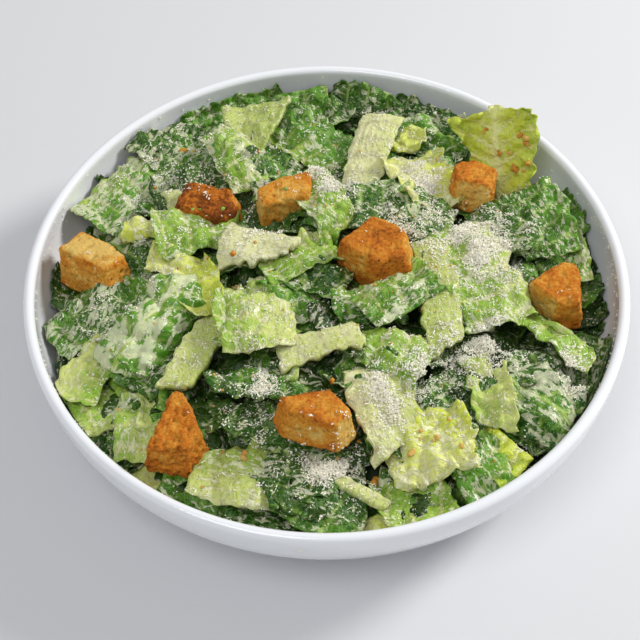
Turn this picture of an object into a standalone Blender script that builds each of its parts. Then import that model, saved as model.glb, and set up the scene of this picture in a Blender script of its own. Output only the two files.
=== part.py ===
"""Caesar salad in a low white bowl.

A turned bowl holds one heap of chopped romaine. A standing leaf and eight croutons are set
into the heap. Origin: centre of the foot, on the table. X right, Y away, Z up, metres.
"""

import math

import bmesh
import bpy
import numpy as np
from mathutils import Matrix, Vector, noise

MM = 0.001
GAP = 0.3 * MM  # between pieces that touch

# Bowl: a quarter ellipse from the foot to an upright, rounded lip.
BOWL_RADIUS = 120 * MM
BOWL_HEIGHT = 48 * MM
WALL = 4.5 * MM
LIP_RADIUS = WALL / 2
STRAIGHT = 2 * MM  # upright band under the lip
FOOT_RADIUS = 68 * MM
FOOT_WIDTH = 5 * MM
FOOT_RECESS = 1.2 * MM
BOWL_STEPS = 64
WALL_RINGS = 7

# Heap: a low mound of leaves, higher than the lip in the middle.
MOUND_RADIUS = 108 * MM
MOUND_EDGE = 33 * MM  # height of the mound where it meets the wall
MOUND_RISE = 21 * MM
MOUND_POWER = 0.8
CORE_DROP = 8 * MM  # the heap's surface between leaves, below the mound
LEAF_SKIRT = 2.5 * MM  # width over which a leaf's edge drops to the core
TERRAIN_STEP = 2.5 * MM
TERRAIN_KEPT = 0.085  # share of the terrain's triangles that stay

# Leaves on top of the heap: x, y, lift, length, width, heading, pitch, roll
# (millimetres and degrees; pitch raises the end that heading points at, roll its left side).
LEAVES = (
    # along the far wall, left to right
    (-84, 48, 0, 50, 36, 50, 0, 15),
    (-66, 71, 0, 44, 40, 50, 5, 12),
    (-47, 102, -1, 46, 20, 36, 5, 25),
    (-27, 92, 4, 44, 19, 78, 8, -5),
    (-12, 102, -3, 26, 24, 0, 0, 15),
    (17, 103, 0, 38, 26, -20, 0, 20),
    (48, 89, -1, 40, 22, -35, 0, 20),
    (104, 40, 4, 34, 18, -70, 0, 30),
    # far half
    (-40, 70, 4, 44, 24, -62, -5, 8),
    (-1, 80, 1, 42, 30, -50, 0, 5),
    (22, 69, 5, 46, 22, 80, 14, -4),
    (39, 84, 1, 26, 18, 10, 0, 0),
    (41, 56, 3, 34, 28, -20, 0, 5),
    (94, 28, 0, 38, 32, -62, 0, 8),
    (68, 26, -2, 40, 30, -10, 0, 0),
    (27, 32, -2, 44, 20, -20, 0, 0),
    (-2, 29, 3, 34, 26, -50, -5, -6),
    # middle
    (-53, 19, 1, 32, 20, 10, 0, 12),
    (-60, 2, 2, 28, 20, -40, 0, 0),
    (-30, 5, 4, 38, 22, -20, 0, 8),
    (-27, -25, 5, 34, 28, -80, -6, 0),
    (25, -17, 5, 30, 24, 35, 4, 8),
    (43, -21, 0, 42, 15, -86, 0, 0),
    (60, 3, 2, 56, 32, -68, -3, 0),
    (86, -28, 2, 36, 18, -45, 0, 10),
    # left side
    (-98, -17, 0, 32, 24, 50, 0, 5),
    (-83, -14, -1, 36, 22, 62, 0, 0),
    (-67, -24, 4, 50, 30, 56, 6, 5),
    (-52, -37, 1, 42, 14, 68, 0, 0),
    (-90, -41, 0, 34, 22, 62, 0, 0),
    (-80, -61, -1, 32, 20, 20, 0, 0),
    # near half
    (-27, -49, 3, 42, 22, -6, 0, 10),
    (2, -38, 2, 28, 18, 14, 0, 0),
    (24, -42, 1, 30, 24, -35, 0, 0),
    (22, -64, 2, 44, 26, -80, 0, 0),
    (36, -81, 3, 36, 30, 25, 0, 6),
    (61, -56, 1, 36, 24, -80, 0, 0),
    (80, -60, 3, 36, 30, -40, 0, 0),
    (96, -46, 1, 36, 24, 30, 0, 0),
    (53, -88, 1, 34, 22, -70, 0, 0),
    (63, -75, -1, 30, 18, -50, 0, 0),
    # along the near wall
    (-66, -67, 0, 28, 24, 85, 0, 0),
    (-79, -75, -1, 26, 18, -50, 0, 0),
    (-64, -89, -1, 32, 18, -35, 0, 0),
    (-34, -88, 2, 36, 30, -12, 0, 0),
    (-12, -100, 0, 36, 22, -20, 0, 0),
    (5, -103, 1, 30, 22, -35, 0, 0),
    (34, -99, 0, 32, 20, 0, 0, 0),
)

# Standing leaf: a folded fan, wider at its top, leaning back over the heap.
FAN_FOOT = (76 * MM, 44.5 * MM, 29 * MM)
FAN_LENGTH = 49 * MM
FAN_HEADING = -10  # degrees
FAN_LEAN = 30  # degrees from upright
FAN_TILT = 12  # degrees that its fold tips to the left
FAN_LEFT = (2 * MM, 19 * MM)  # width left of the fold at the foot and the top
FAN_RIGHT = (8 * MM, 19 * MM)
FAN_FOLD = 10  # degrees that each side folds towards the viewer
FAN_THICKNESS = 2 * MM

# Croutons: outline corners seen from above, height, top size, centre, heading, pitch, roll
# (millimetres and degrees).
CROUTONS = (
    (((-14, -8), (17, -10), (20, 5), (5, 9), (-13, 10)), 20, 0.82, (-95, 10, 40), -32, 8, -8),
    (((-16, -9), (10, -11), (16, -2), (11, 8), (-13, 9)), 17, 0.80, (-48, 34, 48), -12, 0, 12),
    (((-14, -8), (11, -9), (17, 5), (1, 8), (-13, 5)), 16, 0.78, (-17, 36, 52), 18, 6, 4),
    (((-17, -8), (6, -15), (18, -5), (12, 10), (-6, 13)), 20, 0.80, (20, 3, 57), -22, 4, 6),
    (((-10, -8), (9, -9), (11, 6), (-2, 9), (-11, 5)), 17, 0.84, (61, 44, 50), -10, -4, -4),
    (((-14, -2), (2, -14), (13, -12), (11, 11), (3, 13)), 18, 0.78, (90, -8, 45), -8, 0, 8),
    (((-17, -4), (-9, -11), (13, -9), (17, 2), (2, 10)), 16, 0.80, (-4, -70, 52), -24, 0, -6),
    (((-12, -12), (7, -15), (13, -4), (5, 17), (-1, 17)), 18, 0.80, (-56, -75, 47), 2, 0, 4),
)
CROUTON_ROUNDING = 1.8 * MM
SEAT_SCALE = 1.035  # a crouton's seat against the crouton


# Colours as the real things have them: porcelain, romaine, heart leaf and toast.
COLOURS = {
    "porcelain": ((0.86, 0.88, 0.90), 0.15),
    "romaine": ((0.16, 0.32, 0.06), 0.45),
    "heart_leaf": ((0.56, 0.66, 0.14), 0.45),
    "toast": ((0.62, 0.30, 0.08), 0.75),
}


def material(name):
    """A plain finish for one kind of piece."""
    colour, roughness = COLOURS[name]
    made = bpy.data.materials.get(name) or bpy.data.materials.new(name)
    made.use_nodes = True
    shader = made.node_tree.nodes["Principled BSDF"]
    shader.inputs["Base Color"].default_value = (*colour, 1)
    shader.inputs["Roughness"].default_value = roughness
    shader.inputs["Metallic"].default_value = 0
    return made


def new_object(name, mesh, collection, finish=None):
    """An object in a collection, with a finish if it is a real piece."""
    made = bpy.data.objects.new(name, mesh)
    collection.objects.link(made)
    if finish:
        mesh.materials.append(material(finish))
    return made


def mesh_of(name, bm):
    """A mesh from a bmesh, which is freed."""
    bmesh.ops.recalc_face_normals(bm, faces=bm.faces)
    mesh = bpy.data.meshes.new(name)
    bm.to_mesh(mesh)
    bm.free()
    return mesh


def helper(made):
    """Marks a cutter, which isn't a piece."""
    made.hide_render = True
    made.display_type = "WIRE"
    return made


def turned(name, profile, collection, finish=None):
    """A solid turned round Z from (radius, height) points, down the outer side."""
    mesh = bpy.data.meshes.new(name)
    edges = [(i, i + 1) for i in range(len(profile) - 1)]
    mesh.from_pydata([(r, 0, z) for r, z in profile], edges, [])
    made = new_object(name, mesh, collection, finish)
    screw = made.modifiers.new("turn", "SCREW")
    screw.steps = screw.render_steps = BOWL_STEPS
    screw.use_merge_vertices = True
    screw.merge_threshold = 0.00002
    screw.use_smooth_shade = True
    return made


def wall_curve(inset, low, high):
    """(radius, height) points up a wall surface: a quarter ellipse, inset from the outside."""
    across = BOWL_RADIUS - FOOT_RADIUS
    points = []
    for i in range(WALL_RINGS + 1):
        turn = math.pi / 2 * i / WALL_RINGS
        radius = FOOT_RADIUS - inset / 2 + (across - inset / 2) * math.sin(turn)
        points.append((radius, high - (high - low) * math.cos(turn)))
    return points


def bowl_profile():
    """From the middle of the floor out, up the inside, over the lip and down to the foot."""
    shoulder = BOWL_HEIGHT - LIP_RADIUS - STRAIGHT
    inside = wall_curve(WALL, WALL, shoulder)
    lip_middle = BOWL_RADIUS - LIP_RADIUS
    lip_height = BOWL_HEIGHT - LIP_RADIUS
    lip = []
    for degrees in range(180, -1, -36):
        turn = math.radians(degrees)
        lip.append(
            (lip_middle + LIP_RADIUS * math.cos(turn), lip_height + LIP_RADIUS * math.sin(turn))
        )
    outside = wall_curve(0, 0, shoulder)[::-1]
    foot = [
        (FOOT_RADIUS - FOOT_WIDTH, 0),
        (FOOT_RADIUS - FOOT_WIDTH - FOOT_RECESS, FOOT_RECESS),
        (0, FOOT_RECESS),
    ]
    return [(0, WALL), *inside, *lip, *outside, *foot]


def make_bowl(pieces):
    turned("bowl", bowl_profile(), pieces, "porcelain")


def make_filling(cutters):
    """Everything that the bowl could hold, a gap inside its wall and open above."""
    gap = 0.4 * MM
    above = 90 * MM
    shoulder = BOWL_HEIGHT - LIP_RADIUS - STRAIGHT
    inside = wall_curve(WALL + 2 * gap, WALL + gap, shoulder)[::-1]
    brim = BOWL_RADIUS - WALL - gap
    profile = [(0, above), (brim, above), (brim, BOWL_HEIGHT), *inside, (0, WALL + gap)]
    return helper(turned("filling", profile, cutters))


def mound_height(x, y):
    """The height that the leaves lie at, for arrays of places."""
    inward = np.clip(1 - (x * x + y * y) / MOUND_RADIUS**2, 0, 1)
    return MOUND_EDGE + MOUND_RISE * inward**MOUND_POWER


def terrain_height(x, y):
    """The heap's surface: the core with every leaf's tilted plate standing out of it."""
    height = mound_height(x, y) - CORE_DROP
    for px, py, lift, length, width, heading, pitch, roll in LEAVES:
        turn = math.radians(heading)
        dx, dy = x - px * MM, y - py * MM
        along = dx * math.cos(turn) + dy * math.sin(turn)
        across = dy * math.cos(turn) - dx * math.sin(turn)
        slope = math.tan(math.radians(pitch)), math.tan(math.radians(roll))
        plate = lift * MM + along * slope[0] + across * slope[1]
        inside = np.minimum(length / 2 * MM - abs(along), width / 2 * MM - abs(across))
        share = np.clip(1 + inside / LEAF_SKIRT, 0, 1)
        leaf = mound_height(x, y) - CORE_DROP + (plate + CORE_DROP) * share
        height = np.maximum(height, leaf)
    wave = [noise.noise(Vector((a, b, 0)) * 90) for a, b in zip(x, y)]
    return height + np.array(wave) * 1.2 * MM


def make_terrain():
    """A block under the heap's surface, reaching below the bowl."""
    cells = round(2 * BOWL_RADIUS / TERRAIN_STEP)
    bm = bmesh.new()
    bmesh.ops.create_grid(bm, x_segments=cells, y_segments=cells, size=BOWL_RADIUS)
    places = np.array([v.co.xy for v in bm.verts])
    for vert, z in zip(bm.verts, terrain_height(places[:, 0], places[:, 1])):
        vert.co.z = z
    top = list(bm.faces)
    floor = bmesh.ops.extrude_face_region(bm, geom=top, use_keep_orig=True)["geom"]
    for vert in floor:
        if isinstance(vert, bmesh.types.BMVert):
            vert.co.z = -10 * MM
    return mesh_of("lettuce_heap", bm)


def make_heap(pieces, filling, seats):
    """The heap: the terrain kept inside the bowl, with a seat for each piece set into it."""
    heap = new_object("lettuce_heap", make_terrain(), pieces, "romaine")
    coarse = heap.modifiers.new("fewer faces", "DECIMATE")
    coarse.ratio = TERRAIN_KEPT
    inside = heap.modifiers.new("inside the bowl", "BOOLEAN")
    inside.operation = "INTERSECT"
    inside.object = filling
    for seat in seats:
        cut = heap.modifiers.new("seat", "BOOLEAN")
        cut.operation = "DIFFERENCE"
        cut.object = seat


def fan_surface(reach):
    """The standing leaf's middle surface, grown by reach at its edges."""
    columns, rows = 8, 6
    bm = bmesh.new()
    bmesh.ops.create_grid(bm, x_segments=columns, y_segments=rows, size=1)
    fold = math.radians(FAN_FOLD)
    for vert in bm.verts:
        side, up = vert.co.x, (vert.co.y + 1) / 2
        foot, top = FAN_LEFT if side < 0 else FAN_RIGHT
        width = foot + (top - foot) * up + reach
        ruffle = 1.5 * MM * math.sin(3.2 * math.pi * up) * side**2
        vert.co = Vector((
            side * width * math.cos(fold),
            -abs(side) * width * math.sin(fold) + ruffle,
            up * (FAN_LENGTH + 2 * reach) - reach + 3 * MM * (math.cos(5 * side) - 1) * up,
        ))
    lean = Matrix.Rotation(-math.radians(FAN_LEAN), 4, "X")
    turn = Matrix.Rotation(math.radians(FAN_HEADING), 4, "Z")
    tip = Matrix.Rotation(-math.radians(FAN_TILT), 4, "Y")
    place = Matrix.Translation(FAN_FOOT) @ turn @ lean @ tip
    bmesh.ops.transform(bm, matrix=place, verts=bm.verts)
    return bm


def make_fan(name, collection, reach, thickness, finish=None):
    made = new_object(name, mesh_of(name, fan_surface(reach)), collection, finish)
    shell = made.modifiers.new("thickness", "SOLIDIFY")
    shell.thickness = thickness
    shell.offset = 0
    return made


def crouton_block(outline, height, top_scale):
    """A wedge of toast: its outline drawn up to a smaller top, with rounded edges."""
    bm = bmesh.new()
    base = bm.faces.new([bm.verts.new((x * MM, y * MM, -height * MM / 2)) for x, y in outline])
    grown = bmesh.ops.extrude_face_region(bm, geom=[base], use_keep_orig=True)["geom"]
    for vert in grown:
        if isinstance(vert, bmesh.types.BMVert):
            vert.co.x *= top_scale
            vert.co.y *= top_scale
            vert.co.z = height * MM / 2
    bmesh.ops.recalc_face_normals(bm, faces=bm.faces)
    bmesh.ops.bevel(
        bm,
        geom=list(bm.edges),
        offset=CROUTON_ROUNDING,
        segments=2,
        profile=0.5,
        affect="EDGES",
    )
    return bm


def crouton_place(centre, heading, pitch, roll):
    turn = Matrix.Rotation(math.radians(heading), 4, "Z")
    tilt = Matrix.Rotation(-math.radians(pitch), 4, "Y") @ Matrix.Rotation(math.radians(roll), 4, "X")
    return Matrix.Translation(Vector(centre) * MM) @ turn @ tilt


def make_croutons(pieces, cutters):
    """The croutons, and their seats in the heap."""
    seats = []
    for number, (outline, height, top, centre, heading, pitch, roll) in enumerate(CROUTONS, 1):
        place = crouton_place(centre, heading, pitch, roll)
        mesh = mesh_of(f"crouton_{number}", crouton_block(outline, height, top))
        made = new_object(f"crouton_{number}", mesh, pieces, "toast")
        made.matrix_world = place
        seat = helper(new_object(f"seat_{number}", mesh.copy(), cutters))
        seat.matrix_world = place @ Matrix.Scale(SEAT_SCALE, 4)
        seats.append(seat)
    return seats


def main():
    for old in list(bpy.data.objects):
        bpy.data.objects.remove(old)
    pieces = bpy.data.collections.new("caesar_salad")
    cutters = bpy.data.collections.new("cutters")
    for collection in (pieces, cutters):
        bpy.context.scene.collection.children.link(collection)
    make_bowl(pieces)
    seats = make_croutons(pieces, cutters)
    make_fan("standing_leaf", pieces, 0, FAN_THICKNESS, "heart_leaf")
    slot_width = FAN_THICKNESS + 2 * GAP
    seats.append(helper(make_fan("leaf_slot", cutters, GAP, slot_width)))
    make_heap(pieces, make_filling(cutters), seats)


main()
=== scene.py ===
"""Caesar salad in a low white bowl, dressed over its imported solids. Metres, Z up."""
import math

import bmesh
import bpy
import numpy as np
from mathutils import Matrix, Vector
from mathutils.bvhtree import BVHTree


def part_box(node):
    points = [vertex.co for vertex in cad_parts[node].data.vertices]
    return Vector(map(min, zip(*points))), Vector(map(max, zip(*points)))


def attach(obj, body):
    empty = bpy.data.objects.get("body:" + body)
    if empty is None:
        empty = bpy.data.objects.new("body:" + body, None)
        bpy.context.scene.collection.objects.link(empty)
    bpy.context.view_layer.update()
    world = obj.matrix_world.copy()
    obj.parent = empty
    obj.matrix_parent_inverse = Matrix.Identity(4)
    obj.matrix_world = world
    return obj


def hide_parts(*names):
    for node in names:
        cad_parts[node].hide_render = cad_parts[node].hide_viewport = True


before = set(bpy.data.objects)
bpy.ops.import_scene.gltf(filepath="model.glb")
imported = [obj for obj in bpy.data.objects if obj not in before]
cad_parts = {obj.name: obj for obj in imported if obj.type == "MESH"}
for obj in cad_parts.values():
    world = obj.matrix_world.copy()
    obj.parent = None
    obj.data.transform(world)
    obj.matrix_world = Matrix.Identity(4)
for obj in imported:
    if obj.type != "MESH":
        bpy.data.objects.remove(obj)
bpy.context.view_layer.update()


# ---------------------------------------------------------------- bowl
# A low porcelain bowl, turned in one piece and dipped in clear white glaze. It stands on a
# small foot ring. Splashes of dressing have dried to a faint film on its upper wall.
MM = 0.001
RIM_RADIUS = 120 * MM
RIM_HEIGHT = 48 * MM
WALL = 4.5 * MM
LIP = WALL / 2
STRAIGHT = 2 * MM
FOOT_RADIUS = 68 * MM
FOOT_WIDTH = 5 * MM
FOOT_RECESS = 1.2 * MM
SHOULDER = RIM_HEIGHT - LIP - STRAIGHT
TURNS = 192


def wall_curve(inset, low, rings=22):
    """(radius, height) points up one face of the wall, a quarter ellipse inset from the outside."""
    across = RIM_RADIUS - FOOT_RADIUS - inset / 2
    for i in range(rings + 1):
        turn = math.pi / 2 * i / rings
        radius = FOOT_RADIUS - inset / 2 + across * math.sin(turn)
        yield radius, SHOULDER - (SHOULDER - low) * math.cos(turn)


def bowl_profile():
    lip = [
        (RIM_RADIUS - LIP + LIP * math.cos(a), RIM_HEIGHT - LIP + LIP * math.sin(a))
        for a in np.linspace(math.pi, 0, 13)
    ]
    floor = [(r, WALL) for r in np.linspace(0, FOOT_RADIUS - WALL, 7)]
    recess = FOOT_RADIUS - FOOT_WIDTH - FOOT_RECESS
    foot = [(FOOT_RADIUS - FOOT_WIDTH, 0), (recess, FOOT_RECESS), (0, FOOT_RECESS)]
    return [*floor, *wall_curve(WALL, WALL), *lip, *reversed(list(wall_curve(0, 0))), *foot]


def new_piece(name, mesh, slot=None, *nodes):
    """A piece of the object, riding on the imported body, that may stand for its solids."""
    piece = bpy.data.objects.new(name, mesh)
    bpy.context.scene.collection.objects.link(piece)
    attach(piece, "root")
    if nodes:
        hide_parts(*nodes)
    return piece


def srgb(red, green, blue):
    """A colour as it is seen on a screen, from 0 to 255, in the shader's linear values."""
    parts = [c / 255 for c in (red, green, blue)]
    return (*(c / 12.92 if c <= 0.04045 else ((c + 0.055) / 1.055) ** 2.4 for c in parts), 1)


def place_node(tree, kind, settings=None, **inputs):
    """A shader node. Inputs are sockets to link or plain values; Name__2 is a second Name."""
    node = tree.nodes.new(kind)
    for key, value in (settings or {}).items():
        setattr(node, key, value)
    for key, value in inputs.items():
        name, _, number = key.partition("__")
        same = [s for s in node.inputs if s.name.replace(" ", "_") == name]
        socket = same[int(number) - 1 if number else 0]
        if isinstance(value, bpy.types.NodeSocket):
            tree.links.new(value, socket)
        else:
            socket.default_value = value
    return node


def noise(tree, scale, detail=3, roughness=0.5, distortion=0.0, stretch=None):
    """The value of a noise at a scale in cells a metre, in the piece's own space."""
    where = place_node(tree, "ShaderNodeTexCoord").outputs["Object"]
    if stretch:
        where = place_node(tree, "ShaderNodeMapping", Vector=where, Scale=stretch).outputs[0]
    made = place_node(
        tree, "ShaderNodeTexNoise", Vector=where, Scale=scale, Detail=detail,
        Roughness=roughness, Distortion=distortion,
    )
    return made.outputs["Fac"]


def math_node(tree, operation, first, second=0.0, third=0.0, clamp=False):
    made = place_node(tree, "ShaderNodeMath", {"operation": operation, "use_clamp": clamp})
    for socket, value in zip(made.inputs, (first, second, third)):
        if isinstance(value, bpy.types.NodeSocket):
            tree.links.new(value, socket)
        else:
            socket.default_value = value
    return made.outputs[0]


def ease(tree, value, low, high, to_low=0.0, to_high=1.0):
    """A smooth step of a value between two limits."""
    made = place_node(
        tree, "ShaderNodeMapRange", {"interpolation_type": "SMOOTHSTEP"},
        Value=value, From_Min=low, From_Max=high, To_Min=to_low, To_Max=to_high,
    )
    return made.outputs[0]


def blend(tree, share, first, second, mode="MIX"):
    """Two colours mixed by a share."""
    made = place_node(tree, "ShaderNodeMix", {"data_type": "RGBA", "blend_type": mode})
    for socket, value in ((made.inputs[0], share), (made.inputs[6], first), (made.inputs[7], second)):
        if isinstance(value, bpy.types.NodeSocket):
            tree.links.new(value, socket)
        else:
            socket.default_value = value
    return made.outputs[2]


def bump(tree, height, depth, strength=1.0):
    made = place_node(tree, "ShaderNodeBump", Height=height, Distance=depth, Strength=strength)
    return made.outputs[0]


def new_material(name, **constants):
    """A material with its tree and its Principled shader. Constants are set on its sockets."""
    made = bpy.data.materials.new(name)
    made.use_nodes = True
    shader = made.node_tree.nodes["Principled BSDF"]
    for key, value in constants.items():
        shader.inputs[key.replace("_", " ")].default_value = value
    return made, made.node_tree, shader


glaze, tree, shader = new_material(
    "white_glaze", IOR=1.5, Coat_Weight=0.35, Coat_Roughness=0.06, Specular_IOR_Level=0.5
)
smear = ease(tree, noise(tree, 70, 4, 0.6, 0.4), 0.60, 0.74, 0, 0.35)
place = place_node(tree, "ShaderNodeTexCoord").outputs["Object"]
height = place_node(tree, "ShaderNodeSeparateXYZ", Vector=place).outputs["Z"]
smear = math_node(tree, "MULTIPLY", smear, ease(tree, height, 0.026, 0.040))
white = blend(tree, noise(tree, 25, 2), srgb(236, 239, 245), srgb(239, 241, 245))
colour = blend(tree, smear, white, srgb(222, 216, 190))
tree.links.new(colour, shader.inputs["Base Color"])
tree.links.new(ease(tree, smear, 0, 0.35, 0.10, 0.34), shader.inputs["Roughness"])
pits = noise(tree, 900, 2)
tree.links.new(bump(tree, pits, 0.00002), shader.inputs["Normal"])

profile = bowl_profile()
mesh = bpy.data.meshes.new("glazed_bowl")
mesh.from_pydata([(r, 0, z) for r, z in profile], [(i, i + 1) for i in range(len(profile) - 1)], [])
mesh.materials.append(glaze)
glazed_bowl = new_piece("glazed_bowl", mesh, "porcelain", "bowl")
turning = glazed_bowl.modifiers.new("turning", "SCREW")
turning.steps = turning.render_steps = TURNS
turning.use_merge_vertices = True
turning.merge_threshold = 0.00002
turning.use_smooth_shade = True


# ---------------------------------------------------------------- leaves in the depth of the heap
# Chopped romaine fills the bowl. Under the leaves that show lie more of them, packed close
# and in shadow, their colours a darker copy of the outer leaves' as painted shade, and a plain
# core of leaf, dark with painted shade, fills the part that no one sees.
MOUND_RADIUS = 108 * MM
MOUND_EDGE = 33 * MM
MOUND_RISE = 21 * MM
MOUND_POWER = 0.8
WALL_CLEARANCE = 0.7 * MM


# Hollows beside the wall, where the bowl shows: x, y, reach and depth (mm).
HOLLOWS = ((-96, 20, 7, 14), (82, -82, 9, 12), (-96, -52, 6, 5))


def mound_height(x, y):
    """The height that the top leaves lie at."""
    inward = np.clip(1 - (x * x + y * y) / MOUND_RADIUS**2, 0, 1)
    height = MOUND_EDGE + MOUND_RISE * inward**MOUND_POWER
    for px, py, reach, depth in HOLLOWS:
        near = ((x - px * MM) ** 2 + (y - py * MM) ** 2) / (reach * MM) ** 2
        height = height - depth * MM * np.exp(-near)
    return height


def wall_radius(z):
    """The radius of the bowl's inner face at a height."""
    rise = np.clip((SHOULDER - z) / (SHOULDER - WALL), 0, 1)
    return FOOT_RADIUS - WALL / 2 + (RIM_RADIUS - FOOT_RADIUS - WALL / 2) * np.sqrt(1 - rise**2)


def waves(points, length, dice, terms=5):
    """A smooth random height from -1 to 1 at (n, 2) points, with that wave length."""
    total = 0
    for _ in range(terms):
        angle, phase = dice.uniform(0, 2 * math.pi, 2)
        k = 2 * math.pi / (length * dice.uniform(0.75, 1.4))
        total = total + np.sin(k * (points @ (math.cos(angle), math.sin(angle))) + phase)
    return total / terms * 1.4


# Where handfuls of grated cheese fell: x, y, half width and half depth (mm), and how thick.
HANDFULS = (
    (62, 12, 13, 18, 0.9), (60, -34, 12, 8, 1.0), (40, -46, 12, 9, 0.5), (22, -60, 9, 12, 0.6),
    (0, -85, 12, 7, 1.0), (-25, -57, 8, 12, 0.5), (95, -47, 8, 9, 0.6), (0, 42, 9, 9, 0.9),
    (40, 48, 8, 9, 0.8), (34, 20, 10, 14, 0.5), (-24, 14, 8, 7, 0.4), (-60, 45, 22, 26, 0.2),
    (-85, -15, 12, 12, 0.2),
)


def cheese_at(x, y):
    """How much cheese lies at a place, from 0 to about 1, in drifts and bare spots."""
    drift = waves(np.stack([x, y], -1), 13 * MM, np.random.default_rng(17))
    depth = 0.04 + 0 * x
    for px, py, wide, deep, thick in HANDFULS:
        near = ((x - px * MM) / wide) ** 2 + ((y - py * MM) / deep) ** 2
        depth = depth + thick * np.exp(-near / MM**2)
    return depth * np.clip(1 + 0.9 * drift, 0.2, 2)


def cells(points, size, dice):
    """Distance to the nearest and the second nearest of scattered centres, in cell sizes."""
    low, high = points.min(0) - size, points.max(0) + size
    xs, ys = np.meshgrid(np.arange(low[0], high[0], size), np.arange(low[1], high[1], size))
    centres = np.stack([xs.ravel(), ys.ravel()], 1)
    centres = centres + dice.uniform(-0.42, 0.42, centres.shape) * size
    apart = np.sqrt(((points[:, None] - centres[None]) ** 2).sum(2))
    nearest = np.partition(apart, 1, axis=1)[:, :2]
    return nearest[:, 0] / size, nearest[:, 1] / size


def bent(lengths, heights, angles):
    """Lays a row of steps out along a curve that turns through angles; heights stand off it."""
    steps = np.diff(lengths, axis=1)
    middle = (angles[:, 1:] + angles[:, :-1]) / 2
    start = np.zeros((len(lengths), 1))
    along = np.hstack([start, np.cumsum(np.cos(middle) * steps, 1)])
    rise = np.hstack([start, np.cumsum(np.sin(middle) * steps, 1)])
    centre = lengths.shape[1] // 2
    along += lengths[:, centre:centre + 1] - along[:, centre:centre + 1]
    rise -= rise[:, centre:centre + 1]
    return along - np.sin(angles) * heights, rise + np.cos(angles) * heights


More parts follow.
